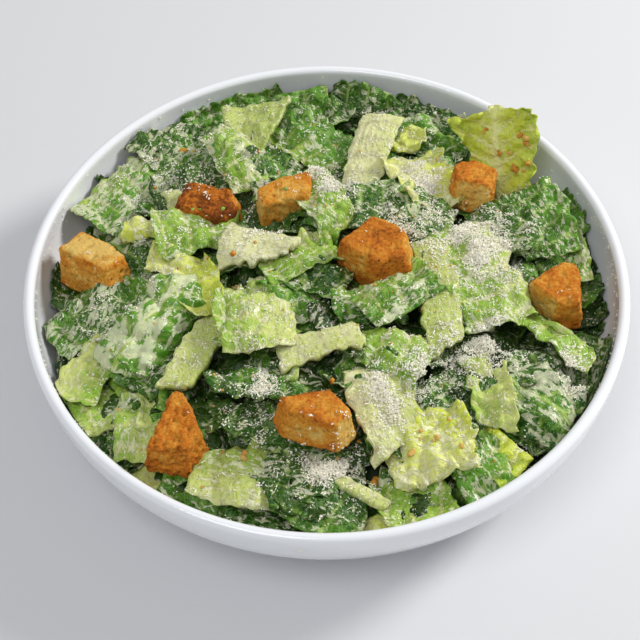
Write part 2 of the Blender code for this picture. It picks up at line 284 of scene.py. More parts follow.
def leaf(
    dice, at, size, turn, pitch=0, roll=0, swing=0, arch=-18, cup=0, fold=None, twist=0, corner=0.25,
    taper=0, frill="", ruffle=2.2, rib=None, veins=1.0, blister=1.0, under=False, sag=1.6,
    film=0.5, deep=(0.3, 1.0), grain=0.85, thick=0.0, uneven=1.0, blisters=4.0, strands=0,
    coarse=1.0, waist=None,
):
    """One cut piece of leaf: its places, and its masks for the shader.

    at is x, y and the height above the mound, and size is length and width, in mm. turn is the
    heading of its far end; pitch raises that end and roll its left side; swing turns it in its
    own plane; arch and cup bend it along and across. fold is an angle, where it is across (-1 to
    1) and how wide. frill lists its grown edges: L, R and F for the far end. rib is a midrib's
    place across and its width. deep is how dark it is beside the rib and at its edge. strands is
    how far apart ridges run along it. thick makes it a slab of rib. coarse is how large the
    islands of dressing are. waist is where along its left side it narrows, and by how much.
    """
    length, width = size
    rows, columns = max(round(length / grain), 8), max(round(width / grain), 6)
    a, b = np.meshgrid(np.linspace(-1, 1, rows + 1), np.linspace(-1, 1, columns + 1), indexing="ij")
    s = length / 2 * a * np.sqrt(1 - corner * b**2 / 2)
    t = width / 2 * b * np.sqrt(1 - corner * a**2 / 2) * (1 + taper * a)
    for far in (-1, 1):
        for left in (-1, 1):
            share = (1 + far * a) * (1 + left * b) / 4
            askew = dice.uniform(-0.13, 0.13, 2) * uneven
            s, t = s + share * length * askew[0], t + share * width * askew[1]

    if waist:
        where, share = waist
        t = np.where(b > 0, t * (1 - share * np.exp(-((a - where) / 0.38) ** 2)), t)

    # The outline: cut edges are nearly straight, and grown edges have lobes.
    shape = s.shape
    flat = np.stack([s.ravel(), t.ravel()], 1)
    s = s + uneven * 0.10 * width * waves(flat, 46, dice).reshape(shape)
    t = t + uneven * 0.13 * width * waves(flat, 40, dice).reshape(shape)
    flat = np.stack([s.ravel(), t.ravel()], 1)
    lobes = waves(flat, 10, dice).reshape(shape)
    nicks = waves(flat, 5, dice).reshape(shape)
    grown_side = ((b > 0) * ("L" in frill) + (b < 0) * ("R" in frill)) * abs(b) ** 4
    grown_end = ((a > 0) * ("F" in frill) + (a < 0) * ("B" in frill)) * abs(a) ** 4
    t = t + np.sign(b) * (grown_side * lobes * 1.3 + b**4 * nicks * 0.7)
    s = s + np.sign(a) * (grown_end * lobes * 1.3 + a**4 * nicks * 0.7)

    # The surface: a rib, side veins that leave it at an angle, and a net between them.
    rib_at, rib_width = rib or (dice.choice((-1.3, 1.3)), 0)
    beside = abs(t - rib_at * width / 2)
    lead = s - beside * (0.75 if rib else 0.45) + 0.012 * beside**2
    spacing = dice.uniform(7.5, 10.5)
    lead = (lead + nicks * 0.8 + dice.uniform(0, spacing)) % spacing
    to_side_vein = np.minimum(lead, spacing - lead) * 0.75
    near, second = (c.reshape(shape) for c in cells(flat, blisters, dice))
    side_vein = np.exp(-(to_side_vein / 0.6) ** 2)
    net = np.exp(-((second - near) / 0.14) ** 2)
    dome = (1 - np.exp(-(to_side_vein / 2.0) ** 2)) * 0.9
    dome = dome + (1 - np.exp(-((second - near) / 0.45) ** 2)) * 0.55
    on_rib = np.exp(-(beside / (rib_width / 2 + 0.01)) ** 4) if rib else 0 * s
    lift = (dome - 0.7) * 1.25 * blister * (1 - on_rib) * (-1 if under else 1)
    lift = lift * (1 - thick) + thick * 0.22 * waves(flat * (0.25, 1.6), 3.4, dice).reshape(shape)
    lift = lift + waves(flat, 18, dice).reshape(shape) * sag
    lift = lift + waves(flat, 8, dice).reshape(shape) * 0.4 * sag * (1 - thick)
    crease = 1 - abs(waves(flat, 26, dice).reshape(shape))
    lift = lift + np.clip(crease, 0, 1) ** 4 * sag * (1 - thick) * dice.choice((-1.3, 1.3))
    ridge = 0 * s
    if strands:
        drift = waves(flat * (0.5, 1), 17, dice).reshape(shape)
        comb = (t * (1 + 0.3 * a) + 0.55 * strands * drift) / strands
        ridge = (0.5 + 0.5 * np.cos(2 * math.pi * comb)) ** 3
        ridge = ridge * np.clip(0.55 + 0.6 * waves(flat, 12, dice).reshape(shape), 0, 1)
        lift = lift + 0.13 * strands * ridge * (-1 if under else 1)
    edge = np.maximum(grown_side, grown_end)
    run = np.where(grown_side >= grown_end, s, t)
    swell = waves(flat, 15, dice).reshape(shape)
    crimp = np.sin(2 * math.pi * run / 8.5 + 4 * swell + dice.uniform(0, 6)) * (0.6 + 0.5 * lobes)
    lift = lift + edge**0.6 * ruffle * (crimp + 0.5 * swell)
    for side in (a, -a, b, -b):
        curl = dice.uniform(-2.6, 2.2) * (1 - thick) * uneven
        lift = lift + curl * np.clip(side - 0.5, 0, 1) ** 2 * 4

    # Bend across, then along.
    angles = math.radians(cup) * b / 2
    if fold:
        turned, where, soft = fold
        angles = angles + math.radians(turned) * np.clip((b - where) / soft + 0.5, 0, 1)
    y, z = bent(t, lift, angles)
    bow = math.radians(arch) / length
    if abs(bow) > 1e-5:
        radius = 1 / bow
        x, z = (radius - z) * np.sin(s * bow), radius - (radius - z) * np.cos(s * bow)
    else:
        x = s
    wind = np.radians(twist) * s / length
    y, z = y * np.cos(wind) - z * np.sin(wind), y * np.sin(wind) + z * np.cos(wind)

    # Put it in the bowl, and let the wall hold it in.
    px, py, up = at
    pitch, roll = pitch + uneven * dice.uniform(-7, 7), roll + uneven * dice.uniform(-7, 7)
    rest = mound_height(px * MM, py * MM) + up * MM
    put = Matrix.Translation((px * MM, py * MM, rest))
    put = put @ Matrix.Rotation(math.radians(turn), 4, "Z")
    put = put @ Matrix.Rotation(-math.radians(pitch), 4, "Y")
    put = put @ Matrix.Rotation(math.radians(roll), 4, "X")
    put = np.array(put @ Matrix.Rotation(math.radians(swing), 4, "Z"))
    places = np.stack([x.ravel(), y.ravel(), z.ravel()], 1) * MM @ put[:3, :3].T + put[:3, 3]
    room = 0.6 + 4 * thick
    from_axis = np.hypot(places[:, 0], places[:, 1])
    limit = wall_radius(places[:, 2]) - WALL_CLEARANCE - room * MM
    inside = np.where(places[:, 2] < RIM_HEIGHT + 2 * MM, np.minimum(1, limit / from_axis), 1)
    places[:, :2] *= inside[:, None]

    index = np.arange(shape[0] * shape[1]).reshape(shape)
    corners = index[:-1, :-1], index[1:, :-1], index[1:, 1:], index[:-1, 1:]
    faces = np.stack([c.ravel() for c in corners], 1)
    out = np.clip(beside / (width * (0.5 + abs(rib_at) / 2)), 0, 1) ** 0.7
    tone = deep[0] + (deep[1] - deep[0]) * out - 0.25 * side_vein - 0.12 * net
    tone = np.clip(tone * (1 - on_rib), 0, 1)
    vein = np.clip(side_vein * (1 - 0.5 * out) + 0.45 * net, 0, 1) * veins
    vein = np.maximum(vein, 0.85 * ridge)
    vein = np.maximum(vein * (1 - thick), on_rib)
    # How low a place lies between the blisters. The shader darkens these places as painted shade, and more
    # dressing gathers there.
    low = np.exp(-dome / 0.45)
    wet = film * (0.75 + 0.55 * waves(flat, 15, dice).reshape(shape)) + 0.2 * film * low
    count = len(places)
    return {
        "places": places,
        "faces": faces,
        "tone": tone.ravel(),
        "vein": vein.ravel(),
        "film": np.clip(wet, 0, 1).ravel(),
        "valley": low.ravel(),
        "age": np.full(count, dice.uniform(0, 1)),
        "grain_x": flat[:, 0] * MM / coarse,
        "grain_y": flat[:, 1] * MM / coarse,
        "dust": cheese_at(places[:, 0], places[:, 1]),
        "thickness": np.clip(0.10 + 0.9 * thick + 0.55 * on_rib.ravel() * (rib_width > 2), 0, 1),
    }


def join_leaves(name, leaves, finish, slot, nodes=(), sheet=4.0):
    """One piece from like leaves: closed sheets with their masks as attributes."""
    starts = np.cumsum([0] + [len(one["places"]) for one in leaves[:-1]])
    places = np.vstack([one["places"] for one in leaves])
    faces = np.vstack([one["faces"] + start for one, start in zip(leaves, starts)])
    made = bpy.data.meshes.new(name)
    made.from_pydata(places.tolist(), [], faces.tolist())
    for mask in ("tone", "vein", "film", "valley", "age", "grain_x", "grain_y", "dust"):
        values = np.concatenate([one[mask] for one in leaves]).astype(np.float32)
        made.attributes.new(mask, "FLOAT", "POINT").data.foreach_set("value", values)
    made.materials.append(finish)
    piece = new_piece(name, made, slot, *nodes)
    group = piece.vertex_groups.new(name="thickness")
    weights = np.concatenate([one["thickness"] for one in leaves])
    for level in np.unique(np.round(weights, 2)):
        chosen = np.nonzero(abs(weights - level) < 0.0051)[0]
        group.add(chosen.tolist(), float(level), "REPLACE")
    body = piece.modifiers.new("leaf thickness", "SOLIDIFY")
    body.thickness = sheet * MM
    body.offset = -1
    body.vertex_group = "thickness"
    body.use_flat_faces = False
    made.shade_smooth()
    return piece


def new_group(name, inputs, outputs):
    """A shader group with named sockets. Each is (name, type, start value)."""
    group = bpy.data.node_groups.new(name, "ShaderNodeTree")
    for side, sockets in (("INPUT", inputs), ("OUTPUT", outputs)):
        for socket_name, kind, start in sockets:
            socket = group.interface.new_socket(socket_name, in_out=side, socket_type=kind)
            if start is not None:
                socket.default_value = start
    return group, group.nodes.new("NodeGroupInput").outputs, group.nodes.new("NodeGroupOutput").inputs


def attribute(tree, name):
    return place_node(tree, "ShaderNodeAttribute", {"attribute_name": name}).outputs["Fac"]


def leaf_lace(tree):
    """How far a place on a leaf is from the finest net of veins, in parts of a cell."""
    x, y, age = (attribute(tree, name) for name in ("grain_x", "grain_y", "age"))
    lie = place_node(tree, "ShaderNodeCombineXYZ", X=x, Y=y, Z=age).outputs[0]
    wander = place_node(tree, "ShaderNodeTexNoise", Vector=lie, Scale=320, Detail=2).outputs["Color"]
    moved = place_node(tree, "ShaderNodeVectorMath", {"operation": "SCALE"}, Vector=wander, Scale=0.0024)
    lie = place_node(
        tree, "ShaderNodeVectorMath", {"operation": "ADD"}, Vector=lie, Vector__2=moved.outputs[0]
    ).outputs[0]
    return place_node(
        tree, "ShaderNodeTexVoronoi", {"feature": "DISTANCE_TO_EDGE"}, Vector=lie, Scale=420
    ).outputs["Distance"]


COLOUR, VALUE = "NodeSocketColor", "NodeSocketFloat"

# Leaf tissue: pale beside the rib, green at the edge, with lighter veins, and painted shade that darkens its
# hollows.
leaf_group, given, out = new_group(
    "leaf tissue",
    [("Pale", COLOUR, None), ("Fresh", COLOUR, None), ("Deep", COLOUR, None), ("Vein", COLOUR, None)],
    [("Colour", COLOUR, None), ("Height", VALUE, None)],
)
tree = leaf_group
lace = leaf_lace(tree)
mottle = math_node(tree, "SUBTRACT", noise(tree, 260, 4, 0.6), 0.5)
tone = math_node(tree, "MULTIPLY_ADD", mottle, 0.55, attribute(tree, "tone"))
tone = math_node(tree, "MULTIPLY_ADD", attribute(tree, "age"), 0.22, math_node(tree, "SUBTRACT", tone, 0.11))
tissue = blend(tree, ease(tree, tone, 0.02, 0.45), given["Pale"], given["Fresh"])
tissue = blend(tree, ease(tree, tone, 0.42, 0.95), tissue, given["Deep"])
# Painted shade: the colour is darkened where the leaf lies low between its blisters.
painted_hollow_shade = ease(tree, attribute(tree, "valley"), 0.2, 1.0, 1.0, 0.66)
tissue = blend(tree, 1.0, tissue, painted_hollow_shade, "MULTIPLY")
fine = noise(tree, 1400, 2)
line = ease(tree, math_node(tree, "MULTIPLY_ADD", fine, 0.3, attribute(tree, "vein")), 0.35, 1.0)
net = ease(tree, math_node(tree, "MULTIPLY_ADD", fine, -0.06, lace), 0.02, 0.09, 0.24, 0.0)
line = math_node(tree, "MAXIMUM", line, net)
tissue = blend(tree, math_node(tree, "MULTIPLY", line, 0.8), tissue, given["Vein"])
tree.links.new(tissue, out["Colour"])
blisters = ease(tree, lace, 0.0, 0.4, 0.0, 1.6)
relief = math_node(tree, "ADD", math_node(tree, "MULTIPLY_ADD", fine, 0.5, line), blisters)
tree.links.new(relief, out["Height"])

# Dressing: a thin cream film that gathers in hollows and breaks up into beads and streaks.
film_group, given, out = new_group(
    "dressing film", [("Amount", VALUE, 0.5)], [("Mask", VALUE, None), ("Height", VALUE, None)]
)
tree = film_group
lie = place_node(
    tree, "ShaderNodeCombineXYZ", X=attribute(tree, "grain_x"), Y=attribute(tree, "grain_y"),
    Z=attribute(tree, "age"),
).outputs[0]
streaked = place_node(tree, "ShaderNodeMapping", Vector=lie, Scale=(0.5, 1, 1)).outputs[0]
beads = place_node(
    tree, "ShaderNodeTexNoise", Vector=streaked, Scale=560, Detail=3, Roughness=0.6, Distortion=0.4
).outputs["Fac"]
pools = place_node(tree, "ShaderNodeTexNoise", Vector=lie, Scale=115, Detail=2).outputs["Fac"]
amount = math_node(tree, "MULTIPLY_ADD", pools, 2.0, ease(tree, leaf_lace(tree), 0.0, 0.16, -0.16, -0.36))
amount = math_node(
    tree, "MULTIPLY", amount, math_node(tree, "MULTIPLY", given["Amount"], attribute(tree, "film"))
)
amount = math_node(tree, "MULTIPLY_ADD", attribute(tree, "valley"), 0.07, amount)
amount = math_node(tree, "MINIMUM", math_node(tree, "MAXIMUM", amount, 0.0), 0.8)
level = math_node(tree, "ADD", ease(tree, beads, 0.32, 0.68), math_node(tree, "SUBTRACT", amount, 1.0))
tree.links.new(ease(tree, level, -0.12, 0.16), out["Mask"])
tree.links.new(ease(tree, level, -0.2, 0.3), out["Height"])

# Cheese dust: the finest grating, seen as pale specks.
dust_group, given, out = new_group(
    "cheese dust", [("Amount", VALUE, 1.0)], [("Mask", VALUE, None), ("Height", VALUE, None)]
)
tree = dust_group
specks = ease(tree, noise(tree, 1300, 2, 0.6), 0.30, 0.70)
amount = math_node(tree, "MULTIPLY", given["Amount"], attribute(tree, "dust"))
amount = math_node(tree, "MINIMUM", math_node(tree, "MULTIPLY", amount, 0.5), 0.5)
level = math_node(tree, "ADD", specks, math_node(tree, "SUBTRACT", amount, 1.0))
mask = ease(tree, level, -0.05, 0.10)
tree.links.new(mask, out["Mask"])
tree.links.new(mask, out["Height"])


def group_node(tree, group, **inputs):
    node = place_node(tree, "ShaderNodeGroup", {"node_tree": group})
    for key, value in inputs.items():
        node.inputs[key].default_value = value
    return node.outputs


def leaf_material(name, pale, fresh, deep, vein, film=1.0, dust=1.0, roughness=0.38):
    """Moist romaine with dressing and cheese dust on it."""
    made, tree, shader = new_material(
        name, IOR=1.4, Subsurface_Weight=0.12, Subsurface_Radius=(0.8, 1.2, 0.3),
        Subsurface_Scale=0.001, Coat_Roughness=0.16, Specular_IOR_Level=0.32,
    )
    tissue = group_node(tree, leaf_group, Pale=pale, Fresh=fresh, Deep=deep, Vein=vein)
    cream = group_node(tree, film_group, Amount=film)
    specks = group_node(tree, dust_group, Amount=dust)
    covered = math_node(tree, "MULTIPLY", cream["Mask"], 0.62)
    colour = blend(tree, covered, tissue["Colour"], srgb(232, 232, 198))
    colour = blend(tree, math_node(tree, "MULTIPLY", specks["Mask"], 0.85), colour, srgb(236, 233, 214))
    tree.links.new(colour, shader.inputs["Base Color"])
    rough = ease(tree, cream["Mask"], 0, 1, roughness, 0.30)
    rough = math_node(tree, "MULTIPLY_ADD", specks["Mask"], 0.4, rough, True)
    tree.links.new(rough, shader.inputs["Roughness"])
    tree.links.new(ease(tree, cream["Mask"], 0, 1, 0.06, 0.30), shader.inputs["Coat Weight"])
    relief = math_node(tree, "MULTIPLY_ADD", cream["Height"], 1.4, tissue["Height"])
    relief = math_node(tree, "MULTIPLY_ADD", specks["Height"], 1.2, relief)
    tree.links.new(bump(tree, relief, 0.00022, 0.9), shader.inputs["Normal"])
    return made


outer_finish = leaf_material(
    "outer_romaine", srgb(182, 198, 92), srgb(86, 142, 32), srgb(36, 82, 12), srgb(160, 190, 96)
)
# Painted shade: the leaves under the top ones get a darker copy of the outer romaine's colours.
painted_shade_finish = leaf_material(
    "romaine_in_shadow", srgb(130, 150, 60), srgb(56, 98, 22), srgb(22, 54, 8), srgb(108, 136, 56),
    film=0.9, dust=0.7,
)

dice = np.random.default_rng(11)
buried = []
for ring, count in ((18, 5), (44, 11), (68, 17), (90, 24), (104, 26)):
    for i in range(count):
        angle = 2 * math.pi * (i + dice.uniform(-0.3, 0.3)) / count
        reach = ring + dice.uniform(-7, 7)
        buried.append(leaf(
            dice, (reach * math.cos(angle), reach * math.sin(angle), dice.uniform(-11, -6)),
            (dice.uniform(30, 44), dice.uniform(22, 32)), dice.uniform(0, 360),
            dice.uniform(-14, 14), dice.uniform(-20, 20), dice.uniform(-40, 20),
            dice.uniform(-50, 50), frill="LF", film=dice.uniform(0.0, 0.5), grain=1.6,
            deep=(dice.uniform(0.2, 0.6), 1),
        ))
join_leaves("buried_leaves", buried, painted_shade_finish, "romaine", ("lettuce_heap",))

dice = np.random.default_rng(13)
tucked = []
for ring, count in ((24, 7), (50, 13), (72, 19), (93, 25)):
    for i in range(count):
        angle = 2 * math.pi * (i + dice.uniform(-0.3, 0.3)) / count
        reach = ring + dice.uniform(-8, 8)
        tucked.append(leaf(
            dice, (reach * math.cos(angle), reach * math.sin(angle), dice.uniform(-6, -2.5)),
            (dice.uniform(18, 30), dice.uniform(12, 20)), dice.uniform(0, 360),
            dice.uniform(-18, 18), dice.uniform(-30, 30), dice.uniform(-40, 20),
            dice.uniform(-60, 60), frill="LF", film=dice.uniform(0.2, 0.6), grain=1.2,
            deep=(dice.uniform(0.0, 0.5), 0.95),
        ))
join_leaves("tucked_leaves", tucked, outer_finish, "romaine", ("lettuce_heap",))

CORE_DROP = 15 * MM
core = bmesh.new()
bmesh.ops.create_circle(core, cap_ends=False, segments=72, radius=1)
ring = list(core.edges)
levels = [
    (wall_radius(z) - 1.2 * MM, z) for z in np.linspace(WALL + 0.6 * MM, 21 * MM, 8)
]
for vert in core.verts:
    vert.co = Vector((vert.co.x * levels[0][0], vert.co.y * levels[0][0], levels[0][1]))
bmesh.ops.contextual_create(core, geom=list(core.edges))
rings = levels[1:] + [(r, None) for r in np.linspace(levels[-1][0] * 0.93, 4 * MM, 22)]
for radius, z in rings:
    grown = bmesh.ops.extrude_edge_only(core, edges=ring)["geom"]
    ring = [g for g in grown if isinstance(g, bmesh.types.BMEdge)]
    for vert in (g for g in grown if isinstance(g, bmesh.types.BMVert)):
        flat = Vector((vert.co.x, vert.co.y)).normalized() * radius
        lumps = 2.4 * MM * math.sin(90 * flat.x + 3) * math.cos(75 * flat.y + 1)
        top = float(mound_height(flat.x, flat.y)) - CORE_DROP + lumps
        vert.co = Vector((*flat, top if z is None else z))
bmesh.ops.contextual_create(core, geom=ring)
bmesh.ops.recalc_face_normals(core, faces=core.faces)
mesh = bpy.data.meshes.new("leaf_core")
core.to_mesh(mesh)
core.free()
core_shade_finish, tree, shader = new_material("packed_leaf", Roughness=0.6)
# Painted shade: the core is coloured darker than any leaf, a dark filler where only shade is seen.
colour = blend(tree, ease(tree, noise(tree, 140, 4, 0.6), 0.35, 0.7), srgb(16, 38, 10), srgb(48, 84, 28))
tree.links.new(colour, shader.inputs["Base Color"])
tree.links.new(bump(tree, noise(tree, 300, 4), 0.001), shader.inputs["Normal"])
mesh.materials.append(core_shade_finish)
mesh.shade_smooth()
leaf_core = new_piece("leaf_core", mesh, "romaine", "lettuce_heap")


# ---------------------------------------------------------------- outer leaves
# Pieces of the dark outer romaine leaves, blistered and wet with dressing. They lie over each
# other as they were tossed, some against the wall.
OUTER = (
    # along the far wall, left to right
    dict(at=(-83, 52, 2), size=(48, 32), turn=52, roll=6, arch=-12, cup=-24, film=0.85, uneven=0.6,
         deep=(0.1, 0.7)),
    dict(at=(-62, 71, 0), size=(44, 34), turn=50, roll=12, arch=-12, film=0.75, frill="L", blisters=3.4),
    dict(at=(-42, 101, 3), size=(58, 18), turn=27, pitch=7, roll=34, arch=-6, cup=18, film=0.4,
         frill="L", deep=(0.4, 0.8)),
    dict(at=(-12, 101, -1), size=(27, 26), turn=8, roll=24, film=0.25, deep=(0.45, 0.9), veins=1.3),
    dict(at=(14, 101, -2), size=(42, 23), turn=-30, roll=30, film=0.4, frill="L", deep=(0.6, 1.1)),
    dict(at=(46, 87, -2), size=(42, 25), turn=-42, roll=26, film=0.5, frill="L", deep=(0.6, 1.1)),
    dict(at=(101, 42, 2), size=(34, 17), turn=-72, roll=26, film=0.35, frill="L", deep=(0.3, 0.8)),
    # far half
    dict(at=(-4, 76, 3), size=(46, 28), turn=-52, roll=4, arch=-34, cup=-40, film=0.35, veins=0.8,
         strands=4.2, under=True, deep=(0.2, 0.8)),
    dict(at=(38, 84, 1), size=(26, 19), turn=10, roll=12, film=0.7, deep=(0.3, 0.7)),
    dict(at=(-22, 60, 0), size=(28, 20), turn=-30, film=0.55),
    dict(at=(84, 31, 3), size=(36, 28), turn=-70, roll=6, arch=-16, film=0.5, frill="L", deep=(0.5, 1)),
    dict(at=(99, 12, 0), size=(26, 16), turn=-80, roll=10, film=0.5, deep=(0.2, 0.6)),
    dict(at=(27, 30, -1), size=(46, 24), turn=-20, arch=-14, film=0.5, deep=(0.6, 1.1)),
    dict(at=(70, 22, 1), size=(32, 24), turn=-8, film=0.4, deep=(0.5, 1.0)),
    # middle and left
    dict(at=(-74, 13, -3), size=(30, 22), turn=34, film=0.6, deep=(0.6, 1.1)),
    dict(at=(-6, -5, -1), size=(28, 16), turn=-30, roll=-8, film=0.25, deep=(0.6, 1.1)),
    dict(at=(-12, -18, 0), size=(26, 18), turn=20, film=0.5, deep=(0.3, 0.8)),
    dict(at=(-83, -13, -1), size=(36, 22), turn=62, film=0.75, deep=(0.4, 0.9)),
    dict(at=(-98, -17, 0), size=(30, 25), turn=50, roll=6, film=0.8, blister=1.5, deep=(0.3, 0.8)),
    dict(at=(-67, -25, 6), size=(50, 28), turn=56, pitch=6, arch=-30, cup=-60, film=0.85, blister=1.0,
         rib=(0.1, 1.6), deep=(0.4, 0.7), blisters=8, coarse=2.3),
    dict(at=(-79, -73, 0), size=(28, 20), turn=-50, film=0.5, deep=(0.5, 1.0)),
    dict(at=(-62, -44, -3), size=(30, 20), turn=30, film=0.5, deep=(0.5, 1.1)),
    # near half
    dict(at=(-26, -53, 2), size=(44, 18), turn=-8, roll=-34, cup=-40, film=0.35, frill="L",
         deep=(0.3, 1.1)),
    dict(at=(-28, -66, -3), size=(44, 18), turn=-10, roll=-6, film=0.12, deep=(0.9, 1.3)),
    dict(at=(-13, -84, -1), size=(34, 24), turn=-6, film=0.5, deep=(0.7, 1.1)),
    dict(at=(-5, -98, 1), size=(38, 23), turn=-22, arch=-20, film=0.3, blister=1.3, deep=(0.5, 1.0)),
    dict(at=(-26, -102, -1), size=(32, 14), turn=-8, film=0.5, deep=(0.7, 1.1)),
    dict(at=(-47, -91, 0), size=(22, 18), turn=-30, film=0.35, deep=(0.4, 0.9)),
    dict(at=(45, -62, -4), size=(30, 22), turn=40, film=0.3, deep=(0.9, 1.3)),
    dict(at=(80, -58, 6), size=(38, 30), turn=-38, coarse=1.5, arch=-30, cup=-50, film=0.6, frill="LF",
         rib=(0.0, 1.4), deep=(0.5, 1.1)),
    dict(at=(80, -67, 1), size=(26, 16), turn=-30, cup=-40, film=0.6, deep=(0.4, 0.9), frill="R"),
    dict(at=(77, -42, 2), size=(30, 18), turn=8, cup=-40, film=0.5, deep=(0.5, 1.1)),
    dict(at=(101, -37, 1), size=(36, 24), turn=62, roll=-14, film=0.5, deep=(0.6, 1.1)),
    dict(at=(56, -86, 4), size=(34, 21), turn=-64, arch=-20, film=0.45, blister=0.5, deep=(0.4, 0.7)),
)
dice = np.random.default_rng(23)
join_leaves("outer_leaves", [leaf(dice, **one) for one in OUTER], outer_finish, "romaine", ("lettuce_heap",))


# ---------------------------------------------------------------- inner leaves
# Brighter pieces from nearer the heart, light along their ribs. Many are folded or curled
# where the knife or the tossing bent them.
INNER = (
    dict(at=(-37, 64, 6), size=(42, 23), turn=-62, arch=-36, cup=-85, film=0.6, rib=(0.7, 2.0),
         veins=1.2, deep=(0.15, 0.75), uneven=0.5, coarse=1.4),
    dict(at=(-2, 29, 5), size=(34, 27), turn=-52, pitch=-6, arch=-26, film=0.4, frill="F", deep=(0.3, 0.8)),
    dict(at=(-50, 19, 4), size=(32, 22), turn=8, arch=-20, film=0.35, frill="LF", blister=1.3,
         deep=(0.25, 0.7)),
    dict(at=(-10, 3, 2), size=(28, 17), turn=24, roll=-8, film=0.4, frill="LF", deep=(0.1, 0.6)),
    dict(at=(24, -16, 5), size=(32, 23), turn=38, arch=-20, cup=-70, film=0.65, frill="LF",
         deep=(0.3, 1.0)),
    dict(at=(24, -41, 1), size=(32, 23), turn=-32, cup=-40, film=0.4, deep=(0.2, 0.8)),
    dict(at=(61, -1, 4), size=(48, 29), turn=-66, arch=-26, cup=-30, film=0.7, frill="LRF", veins=1.2,
         deep=(0.0, 0.45)),
    dict(at=(88, -27, 4), size=(38, 19), turn=-44, arch=-14, fold=(-200, -0.55, 0.5), film=0.25,
         deep=(0.2, 0.6)),
    dict(at=(61, -54, 3), size=(38, 17), turn=-80, arch=-20, film=0.2, frill="R", ruffle=1.6,
         deep=(0.05, 0.4)),
    dict(at=(-28, -25, 6), size=(35, 29), turn=-82, arch=-34, cup=-30, film=0.6, blister=0.5,
         frill="B", strands=3.6, deep=(0.05, 0.5), uneven=0.7),
    dict(at=(-91, -39, 1), size=(38, 19), turn=62, arch=-20, film=0.3, deep=(0.1, 0.6), rib=(0.6, 2)),
    dict(at=(-86, -54, 0), size=(30, 22), turn=38, film=0.4, deep=(0.1, 0.6)),
    dict(at=(-68, -67, 1), size=(32, 26), turn=86, arch=-20, film=0.6, deep=(0.1, 0.4)),
    dict(at=(32, -97, 0), size=(32, 18), turn=4, film=0.2, deep=(0.2, 0.6)),
)
inner_finish = leaf_material(
    "inner_romaine", srgb(210, 218, 128), srgb(136, 176, 50), srgb(62, 120, 20), srgb(208, 218, 136)
)
dice = np.random.default_rng(5)
join_leaves("inner_leaves", [leaf(dice, **one) for one in INNER], inner_finish, "romaine", ("lettuce_heap",))


# ---------------------------------------------------------------- heart leaves
# Yellow, frilled pieces from the heart. One stands up out of the heap against the rim, with
# toast crumbs stuck to it.
HEART = (
    dict(at=(38, 51, 4), size=(33, 23), turn=-74, arch=-26, film=0.8, frill="LRF", ruffle=2.8,
         deep=(0, 0.45)),
    dict(at=(60, -76, 1), size=(32, 20), turn=-52, arch=-16, cup=36, film=0.05, deep=(0.3, 0.8)),
    dict(at=(-60, 1, 4), size=(28, 17), turn=-34, arch=-30, cup=-30, film=0.6, frill="LR", deep=(0, 0.4)),
    dict(at=(-48, -11, 1), size=(24, 15), turn=-62, cup=40, film=0.1, frill="L", deep=(0.1, 0.5)),
    dict(at=(36, -79, 5), size=(31, 26), turn=12, pitch=6, arch=-24, cup=-20, film=0.8, frill="LRF",
         ruffle=2.4, strands=3.4, deep=(0, 0.55), uneven=0.7, veins=1.3),
    dict(at=(-69, 26, 2), size=(28, 10), turn=14, cup=-30, film=0.6, frill="LR", deep=(0, 0.5)),
    dict(at=(-65, -87, -1), size=(32, 17), turn=-36, film=0.3, deep=(0, 0.3)),
    dict(at=(19, -106, -1), size=(28, 11), turn=8, film=0.4, deep=(0, 0.3)),
    dict(at=(37, 78, 3), size=(17, 14), turn=70, film=0.2, frill="LRF", deep=(0, 0.5)),
)
heart_finish = leaf_material(
    "heart_romaine", srgb(230, 234, 146), srgb(198, 210, 62), srgb(146, 174, 28), srgb(234, 237, 156),
    film=0.8,
)
dice = np.random.default_rng(9)
join_leaves(
    "heart_leaves", [leaf(dice, **one) for one in HEART], heart_finish, "heart_leaf", ("lettuce_heap",)
)

STANDING = dict(
    at=(72, 56, 8.9), size=(45, 29), turn=80, pitch=60, roll=-2, swing=11, arch=12, cup=46,
    taper=0.24, waist=(0.3, 0.42), corner=0.04, frill="LRF", ruffle=2.4, rib=(0.0, 2.2), film=0.05,
    deep=(0.15, 0.7), veins=1.0, sag=1.2, uneven=0.5,
)
join_leaves("standing_leaf_blade", [leaf(dice, **STANDING)], heart_finish, "heart_leaf", ("standing_leaf",))


